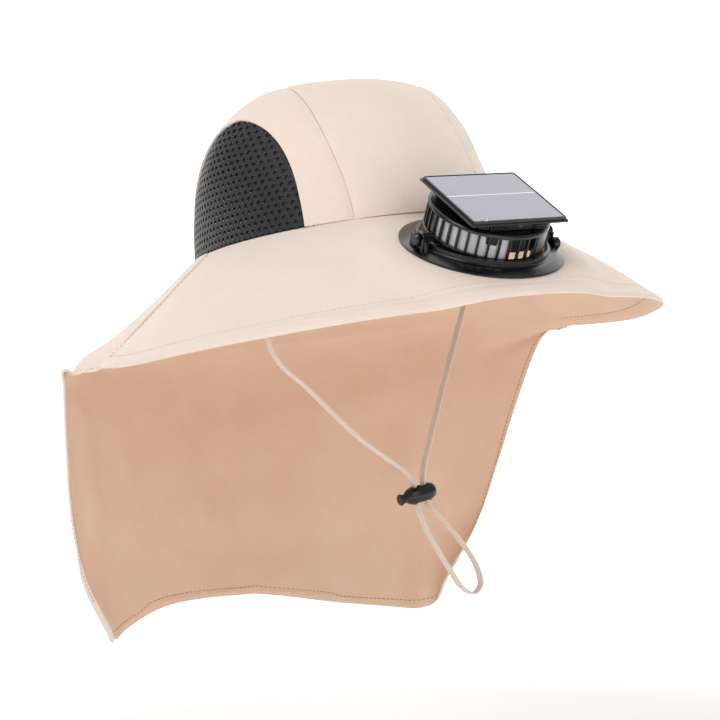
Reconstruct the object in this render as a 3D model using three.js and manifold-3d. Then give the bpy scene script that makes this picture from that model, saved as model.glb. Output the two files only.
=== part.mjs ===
// Solar fan hat: a wide-brimmed sun hat with net side panels, a neck flap, a chin strap,
// and a small fan with a solar panel clamped through the front of the brim.
// Millimetres. Front is -Y, the wearer's right is -X, up is +Z. The origin is the centre of
// the crown's base. The hat is shaped with that base level and is then pitched as it is worn.
import * as THREE from 'three';
import { mergeVertices } from 'three/addons/utils/BufferGeometryUtils.js';
import Module from 'manifold-3d';

const wasm = await Module();
wasm.setup();

// Driving dimensions
const wornPitch = 10; // degrees that the crown's base lifts at the front
const gap = 0.3; // clearance between neighbouring pieces
const past = 1; // how far a cutting shape runs past what it cuts

const crown = {
  length: 202, width: 172, height: 88.2, wall: 1.2,
  frontPower: 1.8, backPower: 2, sidePower: 3.44, topPlanPower: 1.54,
  lean: 29.4, leanPower: 3.5, columns: 32, rows: 8, rowPower: 0.85,
};
const strip = { width: 85 };
const arch = { halfLength: 69, height: 68.5, lean: 22, power: 1.5, points: 7, wall: 1 };
const net = { hole: 9.2, pitch: 15.6, margin: 3.2, firstRow: 0.8, sides: 4 };

const brim = {
  reach: 85, drop: 60.8, lift: 5, liftPower: 1.4, halfAngle: 93.8, wall: 1.6, hemWall: 2.4, hemWidth: 9,
  columns: 28, rows: 9, rowPower: 1.5,
};
// Shares of brim.reach, brim.drop and brim.lift, and of brim.halfAngle from the front
const brimSections = [
  { angle: 0, reach: 1, drop: 1, lift: 1 },
  { angle: 0.33, reach: 0.984, drop: 1.003, lift: 0.95 },
  { angle: 0.64, reach: 0.99, drop: 1.028, lift: 0.55 },
  { angle: 0.8, reach: 0.98, drop: 1.035, lift: 0.25 },
  { angle: 1, reach: 0.828, drop: 0.968, lift: 0 },
];

const flap = {
  halfWidth: 167.5, depth: 182, fall: 202, skew: 11, skewPower: 3, wall: 1.2, standOff: 0.45,
  cornerShare: 0.13, cornerRise: 0.06, columns: 24, rows: 16,
};
// One row from the crown down to the hem. side, set and low are the free edge's place as shares
// of flap.halfWidth, flap.depth and flap.fall; back and drop are the middle of the back; wrap is
// how many degrees the section turns to the free edge; sweep is the power of the drop along it.
const flapSections = [
  { at: 0, side: 0.512, set: 0.038, low: 0, back: 0.555, drop: 0, wrap: 86, sweep: 2 },
  { at: 0.1, side: 0.678, set: 0.048, low: 0.114, back: 0.703, drop: 0.104, wrap: 86, sweep: 2 },
  { at: 0.18, side: 0.811, set: 0.055, low: 0.205, back: 0.824, drop: 0.168, wrap: 86, sweep: 2 },
  { at: 0.25, side: 0.9316, set: 0.0615, low: 0.2905, back: 0.923, drop: 0.198, wrap: 86, sweep: 2 },
  { at: 0.33, side: 0.972, set: 0.135, low: 0.283, back: 0.978, drop: 0.248, wrap: 76, sweep: 2 },
  { at: 0.41, side: 0.994, set: 0.219, low: 0.281, back: 1, drop: 0.327, wrap: 63, sweep: 2 },
  { at: 0.5, side: 0.97, set: 0.3, low: 0.333, back: 1, drop: 0.436, wrap: 60, sweep: 1.7 },
  { at: 0.62, side: 0.9355, set: 0.426, low: 0.495, back: 0.9945, drop: 0.584, wrap: 62, sweep: 1.3 },
  { at: 0.75, side: 0.8955, set: 0.549, low: 0.683, back: 0.989, drop: 0.733, wrap: 67, sweep: 1 },
  { at: 0.88, side: 0.824, set: 0.654, low: 0.881, back: 0.987, drop: 0.871, wrap: 92, sweep: 0.75 },
  { at: 1, side: 0.672, set: 0.765, low: 1.09, back: 0.9725, drop: 1, wrap: 104, sweep: 0.5 },
];

// Where the fan sits on the brim, the flange's slope there, and how far the head is tilted on its pivots
const fan = { centreY: -140.3, centreZ: -27, tilt: 30.5, headTilt: 7.05 };
const flange = { radius: 43.3, rim: 0.9, dome: 2.8, domeRadius: 38.4, sides: 36 };
const collar = { inner: 33.3, wall: 1.9, foot: 0.4, top: 5.6 };
const spigot = collar.inner + collar.wall; // the collar carried down through the brim
const seat = { blend: 27, margin: 1.5, tuck: 3.6 }; // how the brim eases off its flat seat
const ring = { width: 3, height: 2.2, chamfer: 1, below: 0.6 };
const pivot = { height: 6.8, pin: 2, boss: 3, knob: 3.2, knobWall: 2.6, sides: 14 };
const ear = { inner: 36.2, wall: 3, width: 16, top: 10.2, topWidth: 9, chamfer: 1.2 };
const cage = {
  radius: 32, wall: 1.8, bottom: 4.6, chamfer: 2.4, top: 22.6, roof: 1.6, edge: 1,
  slots: 36, slot: 3.4, slotBottom: 9, slotTop: 20.3,
};
const guide = { wall: 0.9, bottom: 7.6, from: -86, to: 2, steps: 8 }; // its arc in degrees from the front
const motor = { radius: 8, bottom: 12, shaft: 1.5, shaftBottom: 8.8 };
const rotor = {
  hub: 10.6, wall: 1.4, bottom: 9.4, top: 18.4, blades: 7, tip: 27.8, chord: 10, blade: 1.1, pitch: 38,
};
const solar = {
  width: 56.7, depth: 52.2, thick: 2.6, round: 1.5, lip: 1.1, lipThick: 1.2,
  rail: 1.8, recess: 1.3, sunk: 0.2, centreY: -1.5, top: 29.85,
};
const housing = { width: 44, front: -25.7, back: 20, round: 2, belly: 29.8 };

const strap = { width: 5.5, thickness: 1.3, steps: 46 };
// The route of the strap, chosen by hand: right side of the crown, lock, tail loop, left side
const strapPoints = [
  [-77.8, -35, -3.3], [-78.4, -38, -22], [-79.4, -41, -42], [-79, -42.8, -60], [-74, -43.4, -71],
  [-62, -43.9, -83], [-48, -44.6, -99], [-33, -45.2, -115], [-18, -45.9, -128], [-6.5, -46.3, -138],
  [-3.2, -46.6, -148], [-3.1, -46.9, -156], [-0.4, -47.5, -168], [5, -48.1, -181], [11.2, -48.8, -194],
  [17, -49.4, -204.5], [23.6, -49.8, -208.6], [29.2, -49.4, -204.6], [28.6, -48.8, -194], [21.6, -48.1, -180],
  [12.4, -47.5, -167], [4.3, -46.9, -157], [2.6, -46.6, -149], [3.4, -46.3, -139], [12, -45.3, -120],
  [25.5, -44.1, -92], [39, -43, -65], [50, -41.9, -43], [62.4, -38.2, -22], [76.3, -35, -3.7],
];
const lock = {
  x: -0.2, y: -46.75, z: -149.6, length: 21, width: 10.5, height: 11, roll: -9,
  slotLength: 9.6, slotWidth: 6.7, around: 14, along: 8,
};
const button = { radius: 2.5, length: 3, out: 3.4, head: 3.2, headWall: 1.5, sides: 14 };

const cloth = { color: 0xe3cab6, roughness: 0.9, metalness: 0 };
const flapCloth = { color: 0xd9b79e, roughness: 0.9, metalness: 0 };
const blackNet = { color: 0x17171a, roughness: 0.8, metalness: 0 };
const blackPlastic = { color: 0x1b1c1e, roughness: 0.35, metalness: 0 };
const greyPlastic = { color: 0xaeb1b5, roughness: 0.5, metalness: 0 };
const cellGlass = { color: 0x8d8fa3, roughness: 0.2, metalness: 0 };

// Small helpers
const rad = THREE.MathUtils.degToRad;
const smooth = (x) => THREE.MathUtils.smoothstep(x, 0, 1);

function between(rows, key, at, name) {
  // Smooth curve through the named column of a table
  let i = 0;
  while (i < rows.length - 2 && at > rows[i + 1][key]) i += 1;
  const [a, b] = [rows[i], rows[i + 1]];
  const before = rows[Math.max(i - 1, 0)];
  const after = rows[Math.min(i + 2, rows.length - 1)];
  const span = b[key] - a[key];
  const t = (at - a[key]) / span;
  const slopeA = ((b[name] - before[name]) / (b[key] - before[key])) * span;
  const slopeB = ((after[name] - a[name]) / (after[key] - a[key])) * span;
  const t2 = t * t;
  const t3 = t2 * t;
  return a[name] * (2 * t3 - 3 * t2 + 1) + slopeA * (t3 - 2 * t2 + t)
    + b[name] * (3 * t2 - 2 * t3) + slopeB * (t3 - t2);
}

function normalAt(surface, u, v) {
  const step = 1e-3;
  const clampedU = [Math.max(u - step, 0), Math.min(u + step, 1)];
  const clampedV = [Math.max(v - step, 0), Math.min(v + step, 1)];
  const alongU = surface(clampedU[1], v).sub(surface(clampedU[0], v));
  const alongV = surface(u, clampedV[1]).sub(surface(u, clampedV[0]));
  return alongU.cross(alongV).normalize();
}

function sheetGeometry(outer, inner, columns, rows, closed = false) {
  // A wall between two surfaces on the same grid, with its open borders closed by strips
  const positions = [];
  const index = [];
  for (const face of [outer, inner]) {
    for (let j = 0; j <= rows; j += 1) {
      for (let i = 0; i <= columns; i += 1) {
        positions.push(...face(i / columns, j / rows).toArray());
      }
    }
  }
  const stride = columns + 1;
  const innerStart = stride * (rows + 1);
  const at = (i, j, side) => side * innerStart + j * stride + i;
  const quad = (a, b, c, d) => index.push(a, b, c, a, c, d);
  for (let j = 0; j < rows; j += 1) {
    for (let i = 0; i < columns; i += 1) {
      quad(at(i, j, 0), at(i + 1, j, 0), at(i + 1, j + 1, 0), at(i, j + 1, 0));
      quad(at(i, j, 1), at(i, j + 1, 1), at(i + 1, j + 1, 1), at(i + 1, j, 1));
    }
    if (!closed) {
      quad(at(0, j, 0), at(0, j + 1, 0), at(0, j + 1, 1), at(0, j, 1));
      quad(at(columns, j, 0), at(columns, j, 1), at(columns, j + 1, 1), at(columns, j + 1, 0));
    }
  }
  for (let i = 0; i < columns; i += 1) {
    quad(at(i, 0, 0), at(i, 0, 1), at(i + 1, 0, 1), at(i + 1, 0, 0));
    if (!closed) quad(at(i, rows, 0), at(i + 1, rows, 0), at(i + 1, rows, 1), at(i, rows, 1));
  }
  const geometry = new THREE.BufferGeometry();
  geometry.setAttribute('position', new THREE.Float32BufferAttribute(positions, 3));
  geometry.setIndex(index);
  return geometry;
}

function clean(geometry) {
  // Vertices shared, collapsed triangles dropped, faces pointing out
  const bare = geometry.clone();
  bare.deleteAttribute('normal');
  bare.deleteAttribute('uv');
  const merged = mergeVertices(bare, 1e-4);
  const position = merged.attributes.position;
  const corner = [0, 1, 2].map(() => new THREE.Vector3());
  const kept = [];
  let volume = 0;
  for (let i = 0; i < merged.index.count; i += 3) {
    const [a, b, c] = [0, 1, 2].map((k) => merged.index.getX(i + k));
    if (a === b || b === c || a === c) continue;
    kept.push([a, b, c]);
    [a, b, c].forEach((v, k) => corner[k].fromBufferAttribute(position, v));
    volume += corner[0].dot(corner[1].clone().cross(corner[2]));
  }
  merged.setIndex(kept.flatMap(([a, b, c]) => (volume > 0 ? [a, b, c] : [a, c, b])));
  return merged;
}

function solid(geometry, place) {
  const bare = clean(place ? geometry.clone().applyMatrix4(place) : geometry);
  return new wasm.Manifold(new wasm.Mesh({
    numProp: 3,
    vertProperties: new Float32Array(bare.attributes.position.array),
    triVerts: new Uint32Array(bare.index.array),
  }));
}

function geometryOf(manifold) {
  const mesh = manifold.getMesh();
  const geometry = new THREE.BufferGeometry();
  geometry.setAttribute('position', new THREE.BufferAttribute(Float32Array.from(mesh.vertProperties), 3));
  geometry.setIndex(Array.from(mesh.triVerts));
  return geometry;
}

function piece(name, shape, finish) {
  const geometry = shape instanceof THREE.BufferGeometry ? clean(shape) : geometryOf(shape);
  const mesh = new THREE.Mesh(geometry, new THREE.MeshStandardMaterial(finish));
  mesh.name = name;
  return mesh;
}

const moved = (x, y, z) => new THREE.Matrix4().makeTranslation(x, y, z);
const turned = (axis, degrees) => new THREE.Matrix4()[`makeRotation${axis}`](rad(degrees));
const box = (sx, sy, sz, place = new THREE.Matrix4()) => solid(new THREE.BoxGeometry(sx, sy, sz), place);

function ringProfile(points, sides = flange.sides) {
  // A closed profile of [radius, height] turned about Z
  const loop = [...points, points[0]].map(([r, z]) => new THREE.Vector2(r, z));
  return new THREE.LatheGeometry(loop, sides).applyMatrix4(turned('X', 90));
}

function cylinder(radius, bottom, top, sides = 24) {
  const geometry = new THREE.CylinderGeometry(radius, radius, top - bottom, sides);
  return solid(geometry, turned('X', 90).premultiply(moved(0, 0, (bottom + top) / 2)));
}

// Crown
function crownPoint(angle, rise, inset) {
  // angle is 0 at the front and grows towards the wearer's right; rise is 0 to 1
  const fade = (power) => Math.max(1 - rise ** power, 0) ** (1 / power);
  const cos = Math.cos(angle);
  const sin = Math.sin(angle);
  const planPower = 2 + (crown.topPlanPower - 2) * rise;
  const round = (Math.abs(cos) ** planPower + Math.abs(sin) ** planPower) ** (-1 / planPower);
  const lengthwise = fade(cos > 0 ? crown.frontPower : crown.backPower);
  return new THREE.Vector3(
    -(crown.width / 2 - inset) * fade(crown.sidePower) * sin * round,
    -(crown.length / 2 - inset) * lengthwise * cos * round - crown.lean * rise ** crown.leanPower,
    (crown.height - inset) * rise,
  );
}

function crownShell(wall) {
  const level = (v) => (v >= 1 ? 1 : Math.sin((v * Math.PI) / 2) ** crown.rowPower);
  const face = (inset) => (u, v) => crownPoint(u >= 1 ? 0 : u * 2 * Math.PI, level(v), inset);
  return solid(sheetGeometry(face(0), face(wall), crown.columns, crown.rows, true));
}

function archPrism(side, grow) {
  // The net's arched outline in side view, run through one side of the crown
  const outline = new THREE.Shape();
  const half = arch.halfLength + grow;
  const top = arch.height + grow;
  const edge = (share, sign) => {
    const reach = half * (1 - share ** arch.power) ** (1 / arch.power);
    return [sign * reach - arch.lean * share ** arch.power, top * share];
  };
  const level = (i) => Math.sin(((i / arch.points) * Math.PI) / 2);
  outline.moveTo(-half, -past);
  outline.lineTo(half, -past);
  for (let i = 0; i < arch.points; i += 1) outline.lineTo(...edge(level(i), 1));
  for (let i = arch.points; i >= 0; i -= 1) outline.lineTo(...edge(level(i), -1));
  const depth = crown.width / 2;
  const prism = new THREE.ExtrudeGeometry(outline, { depth, bevelEnabled: false, steps: 1 });
  // shape x to +Y, shape y to +Z, depth to +X
  const stand = new THREE.Matrix4().makeBasis(
    new THREE.Vector3(0, 1, 0), new THREE.Vector3(0, 0, 1), new THREE.Vector3(1, 0, 0));
  return solid(prism, stand.premultiply(moved(side > 0 ? gap : -depth - gap, 0, 0)));
}

function netHoles(side) {
  // Square holes on end in staggered rows, clear of the arch's edge
  const holes = [];
  const rowStep = net.pitch * Math.sin(Math.PI / 3);
  const depth = crown.width / 2;
  const reach = (z) => arch.halfLength * (1 - (z / arch.height) ** arch.power) ** (1 / arch.power);
  for (let z = net.firstRow * rowStep; z < arch.height - net.margin; z += rowStep) {
    const middle = -arch.lean * (z / arch.height) ** arch.power;
    const room = reach(z) - net.margin - net.hole;
    const count = Math.floor((2 * room) / net.pitch);
    for (let i = 0; i <= count; i += 1) {
      const y = middle + (i - count / 2) * net.pitch;
      const bar = new THREE.CylinderGeometry(net.hole / 2, net.hole / 2, depth, net.sides);
      holes.push(solid(bar, turned('Z', 90).premultiply(moved((side * depth) / 2 + side * gap, y, z))));
    }
  }
  return wasm.Manifold.union(holes);
}

function crownPieces() {
  const shell = crownShell(crown.wall);
  const big = crown.length * 2;
  const half = strip.width / 2;
  const pieces = [piece('crown_center_panel', shell.intersect(box(strip.width - gap, big, big)), cloth)];
  for (const [name, side] of [['right', -1], ['left', 1]]) {
    const beside = box(big, big, big, moved(side * (big / 2 + half + gap / 2), 0, 0));
    const panel = shell.intersect(beside).subtract(archPrism(side, gap / 2));
    const insert = crownShell(arch.wall).intersect(archPrism(side, -gap / 2)).intersect(beside);
    pieces.push(piece(`crown_side_panel_${name}`, panel, cloth));
    pieces.push(piece(`mesh_insert_${name}`, insert.subtract(netHoles(side)), blackNet));
  }
  return pieces;
}

// Brim
const fanPlace = moved(0, fan.centreY, fan.centreZ).multiply(turned('X', fan.tilt));
const fanPlaceBack = fanPlace.clone().invert();

function settleOnFan(point, fromSeam) {
  // The cloth lies flat under the flange and eases back to its own shape round it
  const local = point.clone().applyMatrix4(fanPlaceBack);
  const away = (Math.hypot(local.x, local.y) - flange.radius - seat.margin) / seat.blend;
  const hold = (1 - smooth(away)) * smooth(fromSeam / seat.tuck);
  local.z += (-gap - local.z) * hold;
  return local.applyMatrix4(fanPlace);
}

function brimEdge(angle) {
  const share = Math.abs(THREE.MathUtils.radToDeg(angle)) / brim.halfAngle;
  const section = (name) => between(brimSections, 'angle', share, name);
  const sin = Math.sin(angle);
  const cos = Math.cos(angle);
  const base = Math.hypot((crown.width / 2) * sin, (crown.length / 2) * cos);
  const reach = base + brim.reach * section('reach');
  const point = new THREE.Vector3(-reach * sin, -reach * cos, -brim.drop * section('drop'));
  return { point, lift: brim.lift * section('lift') };
}

function brimTop(u, v) {
  // u runs round the front from the wearer's left to right, v from the crown out to the edge
  const angle = (2 * u - 1) * rad(brim.halfAngle);
  const { point, lift } = brimEdge(angle);
  const [halfWidth, halfLength] = [crown.width / 2 - crown.wall, crown.length / 2 - crown.wall];
  const inner = new THREE.Vector3(-halfWidth * Math.sin(angle), -halfLength * Math.cos(angle), -gap);
  const onLine = inner.clone().lerp(point, v);
  onLine.z += lift * Math.sin(Math.PI * v ** brim.liftPower);
  return settleOnFan(onLine, v * inner.distanceTo(point));
}

function brimSolid() {
  const width = Math.hypot(brim.reach, brim.drop);
  // Closer rows at the crown, where the cloth tucks under the flange
  const spread = (v) => v ** brim.rowPower;
  const under = (u, v) => {
    const wall = (1 - spread(v)) * width < brim.hemWidth ? brim.hemWall : brim.wall;
    return brimTop(u, spread(v)).addScaledVector(normalAt(brimTop, u, spread(v)), -wall);
  };
  const hole = cylinder(spigot + gap, -collar.top, collar.top, flange.sides).transform(fanPlace.elements);
  return solid(sheetGeometry((u, v) => brimTop(u, spread(v)), under, brim.columns, brim.rows)).subtract(hole);
}

// Neck flap
function flapOut(u, v) {
  // u runs from the wearer's right free edge to the left one, v from the crown down to the hem
  const row = (name) => between(flapSections, 'at', v, name);
  const wrap = rad(row('wrap'));
  const turn = (2 * u - 1) * wrap;
  const toEdge = (1 - Math.cos(turn)) / (1 - Math.cos(wrap));
  const [side, set, low] = [row('side') * flap.halfWidth, row('set') * flap.depth, row('low') * flap.fall];
  const [back, drop] = [row('back') * flap.depth, row('drop') * flap.fall];
  const leftSag = flap.skew * Math.sin(Math.PI * (2 * u - 1)) * v ** flap.skewPower;
  return new THREE.Vector3(
    (side * Math.sin(turn)) / Math.sin(wrap),
    back + (set - back) * toEdge + flap.standOff * (1 - smooth(v / flapSections[4].at)),
    -drop + (drop - low) * toEdge ** row('sweep') - leftSag - gap,
  );
}

function flapSolid() {
  const outside = (u, v) => {
    // The lower corners are rounded
    const near = Math.max((Math.abs(2 * u - 1) - 1) / flap.cornerShare + 1, 0);
    const rise = flap.cornerRise * (1 - Math.sqrt(Math.max(1 - near * near, 0)));
    return flapOut(u, v * (1 - rise * v * v));
  };
  const inside = (u, v) => outside(u, v).addScaledVector(normalAt(outside, u, v), -flap.wall);
  return solid(sheetGeometry(outside, inside, flap.columns, flap.rows));
}

// Fan, in its own frame: the flange stands on Z 0 and the fan blows down through the brim
function flangeSolid() {
  const under = -(gap + brim.wall + ring.below + ring.height + gap);
  let body = solid(ringProfile([
    [collar.inner, under], [spigot, under], [spigot, 0], [flange.radius, 0],
    [flange.radius, flange.rim], [flange.domeRadius, flange.dome], [spigot + collar.foot, flange.dome],
    [spigot, collar.top], [collar.inner, collar.top],
  ]));
  const [low, high] = [ear.width / 2, ear.topWidth / 2];
  for (const side of [-1, 1]) {
    const outline = new THREE.Shape();
    outline.moveTo(-low, flange.rim);
    outline.lineTo(low, flange.rim);
    outline.lineTo(high, ear.top - ear.chamfer);
    outline.lineTo(high - ear.chamfer, ear.top);
    outline.lineTo(ear.chamfer - high, ear.top);
    outline.lineTo(-high, ear.top - ear.chamfer);
    const plate = new THREE.ExtrudeGeometry(outline, { depth: ear.wall, bevelEnabled: false });
    const stand = new THREE.Matrix4().makeBasis(
      new THREE.Vector3(0, 1, 0), new THREE.Vector3(0, 0, 1), new THREE.Vector3(1, 0, 0));
    const x = side > 0 ? ear.inner : -ear.inner - ear.wall;
    body = body.add(solid(plate, stand.premultiply(moved(x, 0, 0))));
  }
  // Holes in the ears for the pins, and notches in the collar for the bosses round them
  const notchWidth = 2 * (pivot.boss + gap);
  const notch = box(2 * (spigot + gap), notchWidth, notchWidth, moved(0, 0, pivot.height));
  const through = ear.inner + ear.wall + past;
  return body.subtract(crossPin(pivot.pin + gap, -through, through)).subtract(notch);
}

function crossPin(radius, from, to) {
  // A round bar along X at the pivot's height
  const bar = new THREE.CylinderGeometry(radius, radius, Math.abs(to - from), pivot.sides);
  return solid(bar, turned('Z', 90).premultiply(moved((from + to) / 2, 0, pivot.height)));
}

function ringSolid() {
  const top = -(gap + brim.wall + ring.below);
  const bottom = top - ring.height;
  const inner = spigot + gap;
  const outer = inner + ring.width;
  const slope = [[outer - ring.chamfer, bottom], [outer, bottom + ring.chamfer]];
  return solid(ringProfile([[inner, top], [inner, bottom], ...slope, [outer, top]]));
}

function cageSolid() {
  // A drum with a roof, open below, pierced all round by upright slots
  const inner = cage.radius - cage.wall;
  const [edgeRadius, edgeTop] = [cage.radius - cage.edge, cage.top - cage.edge];
  let body = solid(ringProfile([
    [0, cage.bottom], [edgeRadius, cage.bottom], [cage.radius, cage.bottom + cage.chamfer],
    [cage.radius, edgeTop], [edgeRadius, cage.top], [0, cage.top],
  ], cage.slots));
  for (const side of [-1, 1]) {
    const near = side * inner;
    const earOut = side * (ear.inner + ear.wall + gap);
    const knobOut = earOut + side * pivot.knobWall;
    body = body.add(crossPin(pivot.pin, near, (earOut + knobOut) / 2))
      .add(crossPin(pivot.boss, near, side * (ear.inner - gap)))
      .add(crossPin(pivot.knob, earOut, knobOut));
  }
  const height = cage.slotTop - cage.slotBottom;
  const cuts = [cylinder(inner, cage.bottom - past, cage.top - cage.roof, cage.slots)];
  for (let i = 0; i < cage.slots; i += 1) {
    const degrees = ((i + 0.5) * 360) / cage.slots;
    const behindPivot = Math.abs(Math.cos(rad(degrees))) < Math.sin(Math.PI / cage.slots);
    if (behindPivot) continue;
    const place = turned('Z', degrees).multiply(moved(0, -cage.radius, cage.slotBottom + height / 2));
    cuts.push(box(cage.slot, 2 * (cage.wall + past), height, place));
  }
  return body.subtract(wasm.Manifold.union(cuts));
}

function guideSolid() {
  // A light duct wall behind the slots, part of the way round
  const outer = cage.radius - cage.wall - gap;
  const profile = [
    [outer - guide.wall, guide.bottom], [outer, guide.bottom], [outer, cage.top - cage.roof - gap],
    [outer - guide.wall, cage.top - cage.roof - gap],
  ];
  const full = solid(ringProfile(profile, cage.slots));
  const wedge = new THREE.Shape();
  const far = 2 * cage.radius;
  wedge.moveTo(0, 0);
  for (let i = 0; i <= guide.steps; i += 1) {
    const angle = rad(guide.from + ((guide.to - guide.from) * i) / guide.steps);
    wedge.lineTo(far * Math.sin(angle), -far * Math.cos(angle));
  }
  const block = new THREE.ExtrudeGeometry(wedge, { depth: cage.top, bevelEnabled: false });
  return full.intersect(solid(block));
}

function motorSolid() {
  const top = cage.top - cage.roof - gap;
  const shaft = cylinder(motor.shaft, motor.shaftBottom, motor.bottom + past, 12);
  return cylinder(motor.radius, motor.bottom, top, 20).add(shaft);
}

function rotorSolid() {
  let body = cylinder(rotor.hub, rotor.bottom, rotor.top, 20);
  const span = rotor.tip - rotor.hub + rotor.wall;
  const middle = (rotor.bottom + rotor.top) / 2;
  for (let i = 0; i < rotor.blades; i += 1) {
    const place = turned('Z', (i * 360) / rotor.blades)
      .multiply(moved(0, -(rotor.tip - span / 2), middle))
      .multiply(turned('Y', rotor.pitch));
    body = body.add(box(rotor.chord, span, rotor.blade, place));
  }
  const round = cylinder(rotor.tip, rotor.bottom - past, rotor.top + past, cage.slots);
  return body.intersect(round)
    .subtract(cylinder(rotor.hub - rotor.wall, rotor.bottom + rotor.wall, rotor.top + past, 20))
    .subtract(cylinder(motor.shaft + gap, rotor.bottom - past, rotor.top, 12));
}

function housingSolid() {
  // A block between the cage's roof and the solar panel, its front corners cut back to a circle
  const depth = housing.back - housing.front;
  const middle = (housing.back + housing.front) / 2;
  const bottom = cage.top + gap;
  const top = solar.top - solar.thick - gap;
  const outline = trayShape(housing.width, depth, housing.round);
  const run = { depth: top - bottom, bevelEnabled: false, curveSegments: 4 };
  const block = solid(new THREE.ExtrudeGeometry(outline, run), moved(0, middle, bottom));
  return block.intersect(cylinder(housing.belly, cage.top, solar.top, 48));
}

function trayShape(width, depth, round) {
  const outline = new THREE.Shape();
  const [x, y] = [width / 2, depth / 2];
  outline.moveTo(-x + round, -y);
  outline.absarc(x - round, -y + round, round, -Math.PI / 2, 0);
  outline.absarc(x - round, y - round, round, 0, Math.PI / 2);
  outline.absarc(-x + round, y - round, round, Math.PI / 2, Math.PI);
  outline.absarc(-x + round, -y + round, round, Math.PI, 1.5 * Math.PI);
  return outline;
}

function solarFrameSolid() {
  // A tray with a well for the cell and a thin lip round its foot
  const slab = (grow, thick) => {
    const outline = trayShape(solar.width + 2 * grow, solar.depth + 2 * grow, solar.round);
    const run = { depth: thick, bevelEnabled: false, curveSegments: 4 };
    return solid(new THREE.ExtrudeGeometry(outline, run), moved(0, 0, -solar.thick));
  };
  const well = box(solar.width - 2 * solar.rail, solar.depth - 2 * solar.rail, 2 * solar.recess);
  return slab(0, solar.thick).add(slab(solar.lip, solar.lipThick)).subtract(well);
}

function solarCellSolid() {
  const inset = solar.rail + gap;
  const thick = solar.recess - gap - solar.sunk;
  const place = moved(0, 0, -solar.sunk - thick / 2);
  return box(solar.width - 2 * inset, solar.depth - 2 * inset, thick, place);
}

// Chin strap and cord lock
function strapSolid() {
  const points = strapPoints.map((point) => new THREE.Vector3(...point));
  const route = new THREE.CatmullRomCurve3(points, false, 'centripetal');
  const section = new THREE.Shape();
  const [half, wide, cut] = [strap.thickness / 2, strap.width / 2, strap.thickness / 3];
  section.moveTo(-half, -wide + cut);
  section.lineTo(-half + cut, -wide);
  section.lineTo(half - cut, -wide);
  section.lineTo(half, -wide + cut);
  section.lineTo(half, wide - cut);
  section.lineTo(half - cut, wide);
  section.lineTo(-half + cut, wide);
  section.lineTo(-half, wide - cut);
  const tape = { steps: strap.steps, extrudePath: route, bevelEnabled: false };
  return solid(new THREE.ExtrudeGeometry(section, tape));
}

const lockPlace = moved(lock.x, lock.y, lock.z).multiply(turned('Y', lock.roll));

function lockSolid() {
  const bean = new THREE.SphereGeometry(1, lock.around, lock.along);
  bean.scale(lock.length / 2, lock.width / 2, lock.height / 2);
  const channel = box(lock.slotLength, lock.slotWidth, 2 * lock.height);
  const boreRadius = button.radius + gap;
  const bore = new THREE.CylinderGeometry(boreRadius, boreRadius, lock.length / 2, button.sides);
  const boreCut = solid(bore, turned('Z', 90).premultiply(moved(-lock.length / 2, 0, 0)));
  return solid(bean).subtract(channel).subtract(boreCut);
}

function buttonSolid() {
  const end = -lock.length / 2 - button.out;
  const long = button.length + button.out;
  const stem = new THREE.CylinderGeometry(button.radius, button.radius, long, button.sides);
  const cap = new THREE.CylinderGeometry(button.head, button.head, button.headWall, button.sides);
  const turn = turned('Z', 90);
  return solid(stem, turn.clone().premultiply(moved(end + long / 2, 0, 0)))
    .add(solid(cap, turn.clone().premultiply(moved(end + button.headWall / 2, 0, 0))));
}

// The whole part, as a tree of groups
const head = new THREE.Group();
head.applyMatrix4(moved(0, 0, -pivot.height).premultiply(turned('X', fan.headTilt)).premultiply(
  moved(0, 0, pivot.height)));
head.add(
  piece('fan_cage', cageSolid(), blackPlastic),
  piece('air_guide', guideSolid(), greyPlastic),
  piece('fan_motor', motorSolid(), blackPlastic),
  piece('fan_rotor', rotorSolid(), blackPlastic),
  piece('solar_housing', housingSolid(), blackPlastic),
);
const panel = new THREE.Group();
panel.applyMatrix4(moved(0, solar.centreY, solar.top));
panel.add(
  piece('solar_frame', solarFrameSolid(), blackPlastic),
  piece('solar_cell', solarCellSolid(), cellGlass),
);
head.add(panel);

const fanUnit = new THREE.Group();
fanUnit.applyMatrix4(fanPlace);
fanUnit.add(
  piece('fan_flange', flangeSolid(), blackPlastic),
  piece('fan_backing_ring', ringSolid(), blackPlastic),
  head,
);

const cordLock = new THREE.Group();
cordLock.applyMatrix4(lockPlace);
cordLock.add(
  piece('cord_lock_body', lockSolid(), blackPlastic),
  piece('cord_lock_button', buttonSolid(), blackPlastic),
);

const hat = new THREE.Group();
hat.add(...crownPieces());
hat.add(piece('brim', brimSolid(), cloth), piece('neck_flap', flapSolid(), flapCloth), fanUnit);
hat.add(piece('chin_strap', strapSolid(), cloth), cordLock);
hat.rotation.x = rad(-wornPitch);

const part = new THREE.Group();
part.add(hat);
export default part;
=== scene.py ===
# Solar fan hat: beige cloth hat with net sides, neck flap, chin strap and a solar fan on the brim.
# Shapes are worked out in millimetres in the hat's own level frame, then pitched as worn.
import math
import bmesh
import bpy
import numpy as np
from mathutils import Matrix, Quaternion, Vector


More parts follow.
